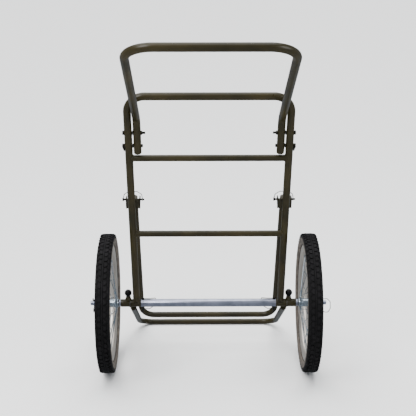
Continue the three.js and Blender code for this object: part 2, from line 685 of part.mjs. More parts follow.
// hub shell with two flanges; the spokes cross between the flanges and the rim in both directions
function addHub({ name, s }) {
  const x = s * WHEEL_X;
  const shell = turnedX(evenRing([
    [-37.5, 11.3], [-37.5, 14.5], [-31.5, 15.5], [-31, 29], [-28, 29], [-27, 16],
  ]), x, ROUND_SIDES);
  const spokes = [];
  for (let k = 0; k < SPOKES; k += 1) {
    const flange = k % 2 === 0 ? -1 : 1;
    const lead = Math.floor(k / 2) % 2 === 0 ? SPOKE_LEAD : -SPOKE_LEAD;
    const tip = (2 * Math.PI * k) / SPOKES;
    const place = (dx, radius, angle) => at(
      x + flange * dx, radius * Math.cos(angle), AXLE_Z + radius * Math.sin(angle));
    const ends = [place(SPOKE_HEAD_X, SPOKE_HEAD_R, tip + lead), place(SPOKE_TIP_X, SPOKE_TIP_R, tip)];
    spokes.push(rod(...ends, SPOKE_R, SPOKE_SIDES));
  }
  addPiece(`hub_${name}`, join(shell, ...spokes), chrome);
}

// flanged bush that the hub turns on
function addBush({ name, s }) {
  const bore = SPINDLE_R + 0.2;
  addPiece(`bush_${name}`, turnedX(outwards(s, [
    [-40, bore], [-40, 11], [37.8, 11], [37.8, 14], [40.6, 14], [40.6, bore], [-40, bore],
  ]), s * WHEEL_X, ROUND_SIDES), nylon);
}

// ---------- the cart ----------
sides.forEach(addRail);
addCrossbar('crossbar_upper', CROSSBAR_UPPER);
addCrossbar('crossbar_lower', CROSSBAR_LOWER);
addTopLoop();
addHandle();
addNoseFrame();
addAxleTube();
addSupportFrame();
const pairs = [
  addUpperBolt, addLowerBolt, addSpacers, addSleeve, addLockCollar, addStubAxle, addPlunger, addKnob,
  addPlungerSpring, addWashers, addBracket, addSupportPin, addAxlePin, addHubPin,
  addTyre, addRim, addHub, addBush,
];
pairs.forEach((addPair) => sides.forEach(addPair));

export default cart;
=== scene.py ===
import json
import math

import bpy
from mathutils import Matrix, Vector


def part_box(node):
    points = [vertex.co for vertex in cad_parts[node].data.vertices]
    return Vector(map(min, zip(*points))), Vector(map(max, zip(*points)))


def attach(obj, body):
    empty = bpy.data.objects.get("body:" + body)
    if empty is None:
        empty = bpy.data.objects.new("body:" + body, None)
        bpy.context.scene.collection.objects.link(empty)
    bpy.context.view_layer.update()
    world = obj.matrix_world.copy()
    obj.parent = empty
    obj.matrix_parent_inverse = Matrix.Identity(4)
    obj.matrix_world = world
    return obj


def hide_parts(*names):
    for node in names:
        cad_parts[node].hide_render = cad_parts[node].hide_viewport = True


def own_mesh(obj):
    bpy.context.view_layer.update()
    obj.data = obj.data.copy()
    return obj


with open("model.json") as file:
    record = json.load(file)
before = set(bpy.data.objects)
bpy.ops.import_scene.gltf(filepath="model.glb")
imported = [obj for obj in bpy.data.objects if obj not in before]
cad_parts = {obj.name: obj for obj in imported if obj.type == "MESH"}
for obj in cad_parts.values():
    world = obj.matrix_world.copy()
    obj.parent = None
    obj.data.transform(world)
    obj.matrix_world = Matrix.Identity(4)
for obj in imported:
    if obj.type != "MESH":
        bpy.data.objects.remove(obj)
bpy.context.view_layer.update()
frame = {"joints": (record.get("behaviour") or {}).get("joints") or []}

# ---- Camera, floor and light ----
# The cart stands on a plain pale floor in a soft studio, and is seen from the operator's side, at about
# the height of a standing person's eyes.
MM = 0.001
axle_low, axle_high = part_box("axle_tube")
AXLE = (axle_low + axle_high) / 2

EYE_SIDE, EYE_BACK, EYE_HEIGHT = -0.030, 3.3747, 1.6617
EYE_TILT, EYE_TURN = 72.8, -0.48
LENS = 86

camera_data = bpy.data.cameras.new("camera")
camera = bpy.data.objects.new("camera", camera_data)
bpy.context.collection.objects.link(camera)
camera_data.lens = LENS
camera.location = (EYE_SIDE, AXLE.y - EYE_BACK, EYE_HEIGHT)
camera.rotation_euler = (math.radians(EYE_TILT), 0, math.radians(EYE_TURN))
bpy.context.scene.camera = camera


def deselect():
    bpy.ops.object.select_all(action="DESELECT")


FLOOR_SIZE = 60
deselect()
bpy.ops.mesh.primitive_plane_add(size=FLOOR_SIZE, location=(0, 0, 0))
floor = bpy.context.object
floor.name = "floor"
# dark tube would mirror the pale floor along its edges, so reflections see the dim studio instead
floor.visible_glossy = False

# place, size in metres and power in watts of each soft light, all aimed at the middle of the cart
LIGHT_AIM = Vector((0, 0, 0.6))
STUDIO_LIGHTS = {
    "key": ((-2.6, -3.0, 4.2), 2.4, 170),
    "fill": ((3.4, -2.2, 2.6), 2.4, 70),
}
for light_name, (place, size, power) in STUDIO_LIGHTS.items():
    light_data = bpy.data.lights.new(light_name, "AREA")
    light_data.size = size
    light_data.energy = power
    light = bpy.data.objects.new(light_name, light_data)
    light.location = place
    light.rotation_euler = (LIGHT_AIM - Vector(place)).to_track_quat("-Z", "Y").to_euler()
    bpy.context.collection.objects.link(light)

# a broad ceiling of light, even over the whole floor; only a part of it shows in reflections
CEILING_SPREAD = math.radians(70)
CEILING_LEAN = (math.radians(-12), math.radians(-8), 0)
for light_name, energy, mirrored in (("ceiling", 2.6, True), ("ceiling_diffuser", 2.8, False)):
    light_data = bpy.data.lights.new(light_name, "SUN")
    light_data.angle = CEILING_SPREAD
    light_data.energy = energy
    light = bpy.data.objects.new(light_name, light_data)
    light.rotation_euler = CEILING_LEAN
    light.visible_glossy = mirrored
    bpy.context.collection.objects.link(light)

world = bpy.data.worlds.new("studio")
world.use_nodes = True
sky = world.node_tree.nodes["Background"].inputs
sky["Color"].default_value = (0.86, 0.92, 1.0, 1)
sky["Strength"].default_value = 0.38
bpy.context.scene.world = world


def linear(colour):
    """An sRGB hex colour as linear RGBA."""
    channels = [int(colour[i:i + 2], 16) / 255 for i in (1, 3, 5)]
    return (*[c / 12.92 if c <= 0.04045 else ((c + 0.055) / 1.055) ** 2.4 for c in channels], 1)


def add_node(material, kind, inputs=None, **settings):
    """A node with its settings; an input is a value, or an output socket to link from."""
    node = material.node_tree.nodes.new(kind)
    for setting, value in settings.items():
        setattr(node, setting, value)
    for socket, value in (inputs or {}).items():
        if isinstance(value, bpy.types.NodeSocket):
            material.node_tree.links.new(value, node.inputs[socket])
        else:
            node.inputs[socket].default_value = value
    return node


def new_material(name):
    material = bpy.data.materials.new(name)
    material.use_nodes = True
    return material, material.node_tree.nodes["Principled BSDF"].inputs


def connect(material, output, socket):
    material.node_tree.links.new(output, socket)


# Seamless paper: matte, evenly pale.
studio_paper, paper = new_material("studio_paper")
paper["Base Color"].default_value = linear("#fbfbfa")
paper["Roughness"].default_value = 0.9
floor.data.materials.append(studio_paper)

# ---- Rails and top loop ----
# The back of the cart: two 1 inch steel tubes leaning towards the operator, with a bent loop plugged into
# their tops. Tube is mandrel bent and welded, then powder coated olive drab all over.
FRAME_TUBE = 12.7 * MM
RAIL_X = 262.5 * MM
LOOP_SEAM = 743.6 * MM
LOOP_TOP = 862 * MM
LOOP_BEND = 75 * MM
RAIL_FOOT = 13 * MM
NECK = 11.6 * MM
NECK_REACH = 8 * MM
SEAM_GAP = 0.5 * MM
SIDES = {"left": -1, "right": 1}

joint_place = {joint["name"]: Vector(joint.get("pos_m", (0, 0, 0))) for joint in frame["joints"]}
handle_pivot = joint_place["handle_fold"]
RAIL_UP = (handle_pivot - Vector((0, AXLE.y, AXLE.z))).normalized()
RAIL_BACK = Vector((0, RAIL_UP.z, -RAIL_UP.y))
ACROSS = Vector((1, 0, 0))


def on_rail(x, up, back=0.0):
    """A point measured up the rails from the axle, and behind them."""
    return Vector((x, AXLE.y, AXLE.z)) + RAIL_UP * up + RAIL_BACK * back


def rounded(corners, bend, steps=18):
    """The path through these corners, with each one bent to a radius."""
    path = [corners[0]]
    for before, corner, after in zip(corners, corners[1:], corners[2:]):
        inward = (before - corner).normalized()
        outward = (after - corner).normalized()
        half = inward.angle(outward) / 2
        reach = 0.48 * min((before - corner).length, (after - corner).length)
        radius = min(bend, reach * math.tan(half))
        centre = corner + (inward + outward).normalized() * radius / math.sin(half)
        start = corner + inward * radius / math.tan(half) - centre
        axis = inward.cross(outward).normalized()
        for step in range(steps + 1):
            turn = -(math.pi - 2 * half) * step / steps
            path.append(centre + Matrix.Rotation(turn, 3, axis) @ start)
    path.append(corners[-1])
    return path


def drawn(name, path, radius, closed=False, ripple=0.0, smoothness=6):
    """A round bar drawn along a path and made a mesh. A ripple swells it, as a weld bead does."""
    curve = bpy.data.curves.new(name, "CURVE")
    curve.dimensions = "3D"
    curve.bevel_depth = radius
    curve.bevel_resolution = smoothness
    curve.use_fill_caps = True
    curve.twist_mode = "MINIMUM"
    spline = curve.splines.new("POLY")
    spline.points.add(len(path) - 1)
    for index, (point, place) in enumerate(zip(spline.points, path)):
        point.co = (*place, 1)
        point.radius = 1 + ripple * math.sin(2.1 * index)
    spline.use_cyclic_u = closed
    bar = bpy.data.objects.new(name, curve)
    bpy.context.collection.objects.link(bar)
    deselect()
    bar.select_set(True)
    bpy.context.view_layer.objects.active = bar
    bpy.ops.object.convert(target="MESH")
    return bpy.context.object


def joined(name, parts):
    deselect()
    for part in parts:
        part.select_set(True)
    bpy.context.view_layer.objects.active = parts[0]
    if len(parts) > 1:
        bpy.ops.object.join()
    whole = bpy.context.object
    whole.name = name
    whole.data.name = name
    return whole


def finished(piece, body, material, stands_for=(), angle=35):
    """Gives a piece its place, smoothing and finish, and says what it rides on and stands for."""
    deselect()
    piece.select_set(True)
    bpy.context.view_layer.objects.active = piece
    bpy.ops.object.transform_apply(location=True, rotation=True, scale=True)
    bpy.ops.object.shade_smooth_by_angle(angle=math.radians(angle))
    piece.data.materials.clear()
    piece.data.materials.append(material)
    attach(piece, body)
    if stands_for:
        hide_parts(*stands_for)


# Polyester powder coat over welded tube: sprayed and baked, so it has a faint orange peel and a soft
# sheen that varies in patches.
olive_coat, coat = new_material("olive_powder_coat")
coat_place = add_node(olive_coat, "ShaderNodeTexCoord").outputs["Object"]
coat_cloud = add_node(olive_coat, "ShaderNodeTexNoise", {"Vector": coat_place, "Scale": 9.0, "Detail": 4.0})
coat_tone = add_node(olive_coat, "ShaderNodeValToRGB", {"Fac": coat_cloud.outputs["Fac"]})
coat_tone.color_ramp.elements[0].position = 0.35
coat_tone.color_ramp.elements[0].color = linear("#1f1b08")
coat_tone.color_ramp.elements[1].position = 0.68
coat_tone.color_ramp.elements[1].color = linear("#302911")
coat_rub = add_node(olive_coat, "ShaderNodeTexNoise", {"Vector": coat_place, "Scale": 70.0, "Detail": 6.0})
coat_gloss = add_node(olive_coat, "ShaderNodeMapRange", {
    "Value": coat_rub.outputs["Fac"], "To Min": 0.22, "To Max": 0.4})
# orange peel of about 2 mm, coarser than the real 1 mm so that it shows
coat_peel = add_node(olive_coat, "ShaderNodeTexNoise", {"Vector": coat_place, "Scale": 480.0, "Detail": 2.0})
coat_bump = add_node(olive_coat, "ShaderNodeBump", {
    "Height": coat_peel.outputs["Fac"], "Strength": 0.18, "Distance": 0.0004})
connect(olive_coat, coat_tone.outputs["Color"], coat["Base Color"])
connect(olive_coat, coat_gloss.outputs["Result"], coat["Roughness"])
connect(olive_coat, coat_bump.outputs["Normal"], coat["Normal"])
coat["Specular IOR Level"].default_value = 0.4

for side, sign in SIDES.items():
    rail = drawn(f"rail_tube_{side}", [
        on_rail(sign * RAIL_X, RAIL_FOOT), on_rail(sign * RAIL_X, LOOP_SEAM)], FRAME_TUBE, smoothness=10)
    finished(rail, "frame", olive_coat, [f"rail_{side}"])

loop_corners = [
    on_rail(-RAIL_X, LOOP_SEAM + SEAM_GAP), on_rail(-RAIL_X, LOOP_TOP),
    on_rail(RAIL_X, LOOP_TOP), on_rail(RAIL_X, LOOP_SEAM + SEAM_GAP),
]
loop = drawn("top_loop_tube", rounded(loop_corners, LOOP_BEND), FRAME_TUBE, smoothness=10)
# the swaged necks that plug into the rails show as a dark line at each seam
necks = [drawn(f"neck_{side}", [
    on_rail(sign * RAIL_X, LOOP_SEAM - NECK_REACH), on_rail(sign * RAIL_X, LOOP_SEAM + NECK_REACH)],
    NECK) for side, sign in SIDES.items()]
finished(joined("top_loop_tube", [loop, *necks]), "frame", olive_coat, ["top_loop"])

# ---- Crossbars and their welds ----
# Two slimmer tubes join the rails. Each is welded to the rail all round, and the rippled bead lies under
# the same coat.
SLIM_TUBE = 10.75 * MM
CROSSBARS = {"crossbar_upper": 630.5 * MM, "crossbar_lower": 318 * MM}
BEAD = 1.9 * MM
BEAD_STEPS = 48
BAR_INSET = 9 * MM

welds = []
for node_name, up in CROSSBARS.items():
    bar = drawn(f"{node_name}_tube", [
        on_rail(-RAIL_X + BAR_INSET, up), on_rail(RAIL_X - BAR_INSET, up)], SLIM_TUBE, smoothness=10)
    finished(bar, "frame", olive_coat, [node_name])
    for sign in SIDES.values():
        seam = []
        for step in range(BEAD_STEPS):
            turn = 2 * math.pi * step / BEAD_STEPS
            inset = math.sqrt(FRAME_TUBE ** 2 - (SLIM_TUBE * math.sin(turn)) ** 2)
            seam.append(on_rail(
                sign * (RAIL_X - inset), up + SLIM_TUBE * math.cos(turn), SLIM_TUBE * math.sin(turn)))
        welds.append(drawn("weld", seam, BEAD, closed=True, ripple=0.16, smoothness=3))

# ---- Axle tube, sleeves and locking collars ----
# A bright zinc-plated tube carries the stub axles. A short coated sleeve at each end takes the rail and
# nose welds; outboard of it a collar holds a spring plunger in a conical boss.
SLEEVE = 14.3 * MM
SLEEVE_IN, SLEEVE_OUT = 246.8 * MM, 286 * MM
COLLAR_IN, COLLAR_OUT = 286.8 * MM, 320 * MM
STUB_IN = 200 * MM
STUB = 11 * MM
SPINDLE = 7.95 * MM
SPINDLE_END = 431 * MM
KNOB_X = 293 * MM
KNOB_BALL = 13 * MM
KNOB_UP = 39.6 * MM
SLEEVE_BORE = STUB + 0.3 * MM
SLEEVE_BEAD = 2.2 * MM
AXLE_WALL = 3 * MM
BOSS_BORE = 3.9 * MM
BOSS_FOOT, BOSS_TOP = 12.6 * MM, 27 * MM
SHOULDER_X = COLLAR_OUT + 1 * MM
END_CHAMFER = 1 * MM


def turned(name, profile, centre, along, steps=64, bevel=0.0):
    """Spins a profile of (distance along the axis, radius) round an axis and closes it."""
    axis = Vector(along).normalized()
    helper = Vector((0, 0, 1)) if abs(axis.z) < 0.9 else Vector((0, 1, 0))
    radial = axis.cross(helper).normalized()
    mesh = bpy.data.meshes.new(name)
    places = [Vector(centre) + axis * distance + radial * radius for distance, radius in profile]
    edges = [(i, i + 1) for i in range(len(places) - 1)]
    mesh.from_pydata(places, edges, [])
    piece = bpy.data.objects.new(name, mesh)
    bpy.context.collection.objects.link(piece)
    deselect()
    piece.select_set(True)
    bpy.context.view_layer.objects.active = piece
    bpy.ops.object.mode_set(mode="EDIT")
    bpy.ops.mesh.select_all(action="SELECT")
    bpy.ops.mesh.spin(steps=steps, angle=2 * math.pi, center=centre, axis=axis)
    bpy.ops.mesh.select_all(action="SELECT")
    bpy.ops.mesh.remove_doubles(threshold=0.00001)
    bpy.ops.mesh.normals_make_consistent(inside=False)
    bpy.ops.object.mode_set(mode="OBJECT")
    if bevel:
        rounded_edges(piece, bevel)
    return piece


def rounded_edges(piece, width, segments=2):
    """Breaks the sharp edges of a piece."""
    deselect()
    piece.select_set(True)
    bpy.context.view_layer.objects.active = piece
    modifier = piece.modifiers.new("edges", "BEVEL")
    modifier.width = width
    modifier.segments = segments
    modifier.limit_method = "ANGLE"
    modifier.angle_limit = math.radians(35)
    bpy.ops.object.modifier_apply(modifier="edges")


# Zinc electroplate over drawn steel: bright and slightly blue, with faint lines along the tube and
# cloudy patches where the plating has dulled.
zinc_plate, zinc = new_material("zinc_plate")
zinc_place = add_node(zinc_plate, "ShaderNodeTexCoord").outputs["Object"]
zinc_stretch = add_node(zinc_plate, "ShaderNodeMapping", {"Vector": zinc_place, "Scale": (3.0, 220.0, 220.0)})
zinc_lines = add_node(zinc_plate, "ShaderNodeTexNoise", {
    "Vector": zinc_stretch.outputs["Vector"], "Scale": 1.0, "Detail": 3.0})
zinc_cloud = add_node(zinc_plate, "ShaderNodeTexNoise", {"Vector": zinc_place, "Scale": 26.0, "Detail": 5.0})
zinc_tone = add_node(zinc_plate, "ShaderNodeValToRGB", {"Fac": zinc_cloud.outputs["Fac"]})
zinc_tone.color_ramp.elements[0].position = 0.3
zinc_tone.color_ramp.elements[0].color = linear("#9a9fb0")
zinc_tone.color_ramp.elements[1].position = 0.7
zinc_tone.color_ramp.elements[1].color = linear("#c2c6d8")
zinc_gloss = add_node(zinc_plate, "ShaderNodeMapRange", {
    "Value": zinc_lines.outputs["Fac"], "To Min": 0.2, "To Max": 0.42})
connect(zinc_plate, zinc_tone.outputs["Color"], zinc["Base Color"])
connect(zinc_plate, zinc_gloss.outputs["Result"], zinc["Roughness"])
zinc["Metallic"].default_value = 1.0

half_axle = SLEEVE_IN - 0.6 * MM
axle = turned("axle_tube_drawn", [
    (-half_axle, SLEEVE - AXLE_WALL), (-half_axle, SLEEVE), (half_axle, SLEEVE),
    (half_axle, SLEEVE - AXLE_WALL), (-half_axle, SLEEVE - AXLE_WALL)], AXLE, ACROSS, bevel=0.4 * MM)
finished(axle, "frame", zinc_plate, ["axle_tube"])

for side, sign in SIDES.items():
    sleeve = turned(f"sleeve_turned_{side}", [
        (sign * SLEEVE_IN, SLEEVE_BORE), (sign * SLEEVE_IN, SLEEVE), (sign * SLEEVE_OUT, SLEEVE),
        (sign * SLEEVE_OUT, SLEEVE_BORE), (sign * SLEEVE_IN, SLEEVE_BORE)], AXLE, ACROSS, bevel=0.6 * MM)
    finished(sleeve, "frame", olive_coat, [f"sleeve_{side}"])

    collar = turned("collar", [
        (sign * COLLAR_IN, SLEEVE_BORE), (sign * COLLAR_IN, SLEEVE), (sign * COLLAR_OUT, SLEEVE),
        (sign * COLLAR_OUT, SLEEVE_BORE), (sign * COLLAR_IN, SLEEVE_BORE)], AXLE, ACROSS, bevel=0.6 * MM)
    knob_foot = AXLE + ACROSS * sign * KNOB_X
    boss = turned("boss", [
        (BOSS_FOOT, BOSS_BORE), (BOSS_FOOT, 12.2 * MM), (14.2 * MM, 12.0 * MM), (17.0 * MM, 10.6 * MM),
        (21 * MM, 9.2 * MM), (26.2 * MM, 8.6 * MM), (BOSS_TOP, 7.9 * MM), (BOSS_TOP, BOSS_BORE),
        (BOSS_FOOT, BOSS_BORE)], knob_foot, (0, 0, 1), bevel=0.3 * MM)
    finished(joined(f"lock_collar_welded_{side}", [collar, boss]), "frame", olive_coat,
             [f"lock_collar_{side}"])

    stub = turned(f"stub_axle_turned_{side}", [
        (sign * STUB_IN, 0), (sign * STUB_IN, STUB), (sign * SHOULDER_X, STUB),
        (sign * SHOULDER_X, SPINDLE), (sign * (SPINDLE_END - END_CHAMFER), SPINDLE),
        (sign * SPINDLE_END, SPINDLE - END_CHAMFER), (sign * SPINDLE_END, 0)], AXLE, ACROSS)
    finished(stub, "frame", zinc_plate, [f"stub_axle_{side}"])

    rail_seam = []
    for step in range(BEAD_STEPS):
        turn = 2 * math.pi * step / BEAD_STEPS
        lift = math.sqrt(SLEEVE ** 2 - (FRAME_TUBE * math.sin(turn)) ** 2)
        rail_seam.append(on_rail(
            sign * RAIL_X + FRAME_TUBE * math.cos(turn), lift, FRAME_TUBE * math.sin(turn)))
    welds.append(drawn("weld", rail_seam, SLEEVE_BEAD, closed=True, ripple=0.14, smoothness=3))

# ---- Nose frame ----
# A U of slimmer tube runs from under the sleeves down to the floor, where its end bar carries the foot
# of the load. It is welded to the undersides of the sleeves.
NOSE_X = 276.25 * MM
NOSE_BAR_Y = 384 * MM
NOSE_DROP = 15.8 * MM
NOSE_BEND = 60 * MM
NOSE_START = 13 * MM

nose_slope = (AXLE.z - NOSE_DROP - SLIM_TUBE) / NOSE_BAR_Y
nose_start_z = AXLE.z - NOSE_DROP - nose_slope * NOSE_START
nose = drawn("nose_tube", rounded([
    Vector((-NOSE_X, AXLE.y + NOSE_START, nose_start_z)),
    Vector((-NOSE_X, AXLE.y + NOSE_BAR_Y, SLIM_TUBE)),
    Vector((NOSE_X, AXLE.y + NOSE_BAR_Y, SLIM_TUBE)),
    Vector((NOSE_X, AXLE.y + NOSE_START, nose_start_z))], NOSE_BEND), SLIM_TUBE, smoothness=10)
finished(nose, "frame", olive_coat, ["nose_frame"])

nose_along = Vector((0, 1, -nose_slope)).normalized()
nose_over = Vector((0, nose_slope, 1)).normalized()
nose_offset = -NOSE_DROP * nose_over.z
for sign in SIDES.values():
    nose_seam = []
    for step in range(BEAD_STEPS // 2 + 1):
        turn = math.pi * step / (BEAD_STEPS // 2)
        over = nose_offset + SLIM_TUBE * math.sin(turn)
        run = math.sqrt(max(SLEEVE ** 2 - over ** 2, 0))
        nose_seam.append(AXLE + ACROSS * (sign * NOSE_X + SLIM_TUBE * math.cos(turn))
                         + nose_over * over + nose_along * run)
    welds.append(drawn("weld", nose_seam, SLEEVE_BEAD, ripple=0.14, smoothness=3))

# ---- Brackets of the support frame ----
# Channels pressed from 3 mm plate, welded web-first to the backs of the rails. Their two cheeks are
# rounded about the pin hole.
BRACKET_X = 259 * MM
BRACKET_HALF = 24.5 * MM
PLATE = 3 * MM
PIN_UP, PIN_BACK = 438 * MM, 37 * MM
CHEEK_ROUND = 13 * MM
WEB_BACK = 13 * MM
WEB_LOW, WEB_HIGH = -21 * MM, 19 * MM
SIDE_WELD_SHIFT = 7.5 * MM
SIDE_WELD_BACK = 11.6 * MM
SIDE_WELD_LENGTH = 34 * MM


def extruded(name, outline, push, edge, segments=2):
    """A plate made by pushing a flat outline through its thickness, with its edges broken."""
    mesh = bpy.data.meshes.new(name)
    mesh.from_pydata(outline, [], [range(len(outline))])
    plate = bpy.data.objects.new(name, mesh)
    bpy.context.collection.objects.link(plate)
    deselect()
    plate.select_set(True)
    bpy.context.view_layer.objects.active = plate
    bpy.ops.object.mode_set(mode="EDIT")
    bpy.ops.mesh.select_all(action="SELECT")
    bpy.ops.mesh.extrude_region_move(TRANSFORM_OT_translate={"value": push})
    bpy.ops.mesh.select_all(action="SELECT")
    bpy.ops.mesh.normals_make_consistent(inside=False)
    bpy.ops.object.mode_set(mode="OBJECT")
    rounded_edges(plate, edge, segments)
    return plate



for side, sign in SIDES.items():
    cheeks = []
    for edge in (-BRACKET_HALF, BRACKET_HALF - PLATE):
        outline = [(WEB_BACK, -22 * MM), (17 * MM, -22 * MM), (PIN_BACK - 4 * MM, -CHEEK_ROUND)]
        for step in range(17):
            turn = -math.pi / 2 + math.pi * step / 16
            outline.append((PIN_BACK + CHEEK_ROUND * math.cos(turn), CHEEK_ROUND * math.sin(turn)))
        outline += [(PIN_BACK - 4 * MM, CHEEK_ROUND), (17 * MM, 20 * MM), (WEB_BACK, 20 * MM)]
        cheeks.append([on_rail(sign * BRACKET_X + edge, PIN_UP + up, back) for back, up in outline])
    web = [on_rail(sign * BRACKET_X + x, PIN_UP + up, WEB_BACK)
           for x, up in ((-BRACKET_HALF, WEB_LOW), (BRACKET_HALF, WEB_LOW),
                         (BRACKET_HALF, WEB_HIGH), (-BRACKET_HALF, WEB_HIGH))]
    plates = [extruded("plate", outline, push, 0.7 * MM) for outline, push in (
        (cheeks[0], ACROSS * PLATE), (cheeks[1], ACROSS * PLATE), (web, RAIL_BACK * PLATE))]
    finished(joined(f"bracket_pressed_{side}", plates), "frame", olive_coat,
             [f"bracket_{side}"])
    for shift in (-SIDE_WELD_SHIFT, SIDE_WELD_SHIFT):
        run = [on_rail(sign * RAIL_X + shift, PIN_UP - 18 * MM + SIDE_WELD_LENGTH * step / 24, SIDE_WELD_BACK)
               for step in range(25)]
        welds.append(drawn("weld", run, BEAD, ripple=0.18, smoothness=3))

finished(joined("weld_beads", welds), "frame", olive_coat, angle=60)

# ---- Handle ----
# One long bend of 1 inch tube. Its legs lie inside the rails, with a plugged round end below the lock
# bolts, then bend back towards the operator to the grip.
HANDLE_X = 233.4 * MM
HANDLE_FOOT = 649.6 * MM
HANDLE_KNEE = 779 * MM
HANDLE_BEND = 80 * MM
GRIP_Y = -767 * MM
GRIP_Z = 1295 * MM
END_PLUG = 4 * MM

grip = [Vector((sign * HANDLE_X, AXLE.y + GRIP_Y, GRIP_Z)) for sign in SIDES.values()]
handle = drawn("handle_tube", rounded([
    on_rail(-HANDLE_X, HANDLE_FOOT + END_PLUG), on_rail(-HANDLE_X, HANDLE_KNEE), *grip,
    on_rail(HANDLE_X, HANDLE_KNEE), on_rail(HANDLE_X, HANDLE_FOOT + END_PLUG)], HANDLE_BEND), FRAME_TUBE,
    smoothness=10)
ends = [turned("leg_end", [(END_PLUG, FRAME_TUBE), (1.6 * MM, 11.6 * MM), (0.3 * MM, 8.5 * MM), (0, 0)],
               on_rail(sign * HANDLE_X, HANDLE_FOOT), RAIL_UP) for sign in SIDES.values()]
finished(joined("handle_tube", [handle, *ends]), "handle", olive_coat, ["handle"])

# ---- Support frame ----
# A U of slimmer tube hung on two lock pins behind the rails. It props the load frame, and swings out when
# the cart is folded.
SUPPORT_X = 254.4 * MM
SUPPORT_LENGTH = 606 * MM
SUPPORT_ANGLE = math.radians(63.8)
SUPPORT_BEND = 48 * MM
SUPPORT_PAST_PIN = 12 * MM
support_down = Vector((0, math.cos(SUPPORT_ANGLE), -math.sin(SUPPORT_ANGLE)))


def on_support(x, down):
    return Vector((x, 0, 0)) + joint_place["support_swing"] + support_down * down


support = drawn("support_tube", rounded([
    on_support(-SUPPORT_X, -SUPPORT_PAST_PIN), on_support(-SUPPORT_X, SUPPORT_LENGTH),
    on_support(SUPPORT_X, SUPPORT_LENGTH), on_support(SUPPORT_X, -SUPPORT_PAST_PIN)], SUPPORT_BEND),
    SLIM_TUBE, smoothness=10)
finished(support, "support", olive_coat, ["support_frame"])

# ---- Handle bolts, nuts and spacers ----
# The upper bolts are the handle's pivots: hex heads outside, domed cap nuts inside. The lower bolts lock
# it, with a folded wing on the head; they are drawn clear of the legs. A dark washer fills each gap.
BOLT_UPPER = 728 * MM
BOLT_LOWER = 679 * MM
RAIL_FACE = RAIL_X + FRAME_TUBE
LEG_FACE = HANDLE_X - FRAME_TUBE
HEX_13 = 13 * MM / math.sqrt(3)
HEX_10 = 10 * MM / math.sqrt(3)
PIVOT_SHANK, PIVOT_SHANK_IN = 3.9 * MM, 206.5 * MM
LOCK_SHANK, LOCK_SHANK_IN, LOCK_STUB_OUT = 2.9 * MM, 247 * MM, 245.6 * MM
HEAD_RADIUS = 7.3 * MM
HEAD_START, HEAD_END = RAIL_FACE + 0.8 * MM, RAIL_FACE + 5.7 * MM
WASHER_START, WASHER_END = RAIL_FACE - 0.4 * MM, RAIL_FACE + 1.0 * MM
CAP_FACE = LEG_FACE - 3.6 * MM
CAP_ROUND, CAP_DEPTH = 5.6 * MM, 3.5 * MM
WING_DEPTH, WING_WIDTH = 4.5 * MM, 9 * MM
# the wing's side view in millimetres: out from the rail, and up it
WING = [(0, -19), (2.2, -20), (5.2, -12), (8, -4), (8, 4), (6.5, 6), (0, 6)]

# Black oxide on turned steel: dark, thin and oily, so the steel's own sheen shows through and the
# patches that have rubbed show a little brighter.
black_oxide, oxide = new_material("black_oxide_steel")
oxide_place = add_node(black_oxide, "ShaderNodeTexCoord").outputs["Object"]
oxide_cloud = add_node(black_oxide, "ShaderNodeTexNoise", {
    "Vector": oxide_place, "Scale": 160.0, "Detail": 5.0})
oxide_tone = add_node(black_oxide, "ShaderNodeValToRGB", {"Fac": oxide_cloud.outputs["Fac"]})
oxide_tone.color_ramp.elements[0].position = 0.4
oxide_tone.color_ramp.elements[0].color = linear("#16140f")
oxide_tone.color_ramp.elements[1].position = 0.75
oxide_tone.color_ramp.elements[1].color = linear("#35322d")
oxide_gloss = add_node(black_oxide, "ShaderNodeMapRange", {
    "Value": oxide_cloud.outputs["Fac"], "To Min": 0.28, "To Max": 0.5})
connect(black_oxide, oxide_tone.outputs["Color"], oxide["Base Color"])
connect(black_oxide, oxide_gloss.outputs["Result"], oxide["Roughness"])
oxide["Metallic"].default_value = 0.7

# Moulded nylon: matte, with a fine sparked grain.
nylon_moulded, nylon = new_material("moulded_nylon")
nylon_place = add_node(nylon_moulded, "ShaderNodeTexCoord").outputs["Object"]
nylon_grain = add_node(nylon_moulded, "ShaderNodeTexNoise", {
    "Vector": nylon_place, "Scale": 900.0, "Detail": 2.0})
nylon_bump = add_node(nylon_moulded, "ShaderNodeBump", {
    "Height": nylon_grain.outputs["Fac"], "Strength": 0.2, "Distance": 0.0002})
connect(nylon_moulded, nylon_bump.outputs["Normal"], nylon["Normal"])
nylon["Base Color"].default_value = linear("#232323")
nylon["Roughness"].default_value = 0.6


def hexagon(name, start, end, radius, centre, chamfer=0.7 * MM):
    return turned(name, [(start, 0), (start, radius), (end, radius), (end, 0)], centre, ACROSS, steps=6,
                  bevel=chamfer)


